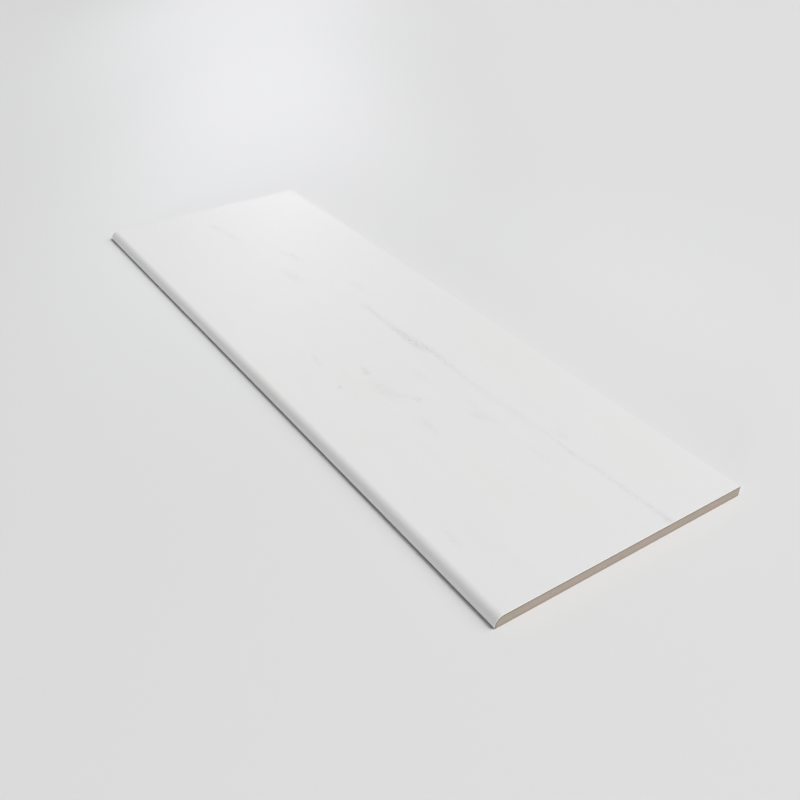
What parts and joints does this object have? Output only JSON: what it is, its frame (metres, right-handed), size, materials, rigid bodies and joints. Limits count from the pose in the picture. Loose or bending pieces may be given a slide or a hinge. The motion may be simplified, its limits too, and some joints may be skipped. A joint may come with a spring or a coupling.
{
  "type": "bullnose tile",
  "caption": "Long porcelain bullnose tile, flat and marble-veined, with its long edge rolled down to finish a wall, step or skirting.",
  "frame": {"origin": "centre of the underside, which is the centre of the bounding box's bottom face", "axes": "+X along the tile's length, -Y towards the long edge that is rolled over, +Z out of the glazed face"},
  "size_m": [0.6, 0.2, 0.008],
  "materials": {
    "glazed_porcelain": "satin"
  },
  "bodies": {
    "root": {"bullnose_tile": "glazed_porcelain"}
  },
  "joints": []
}
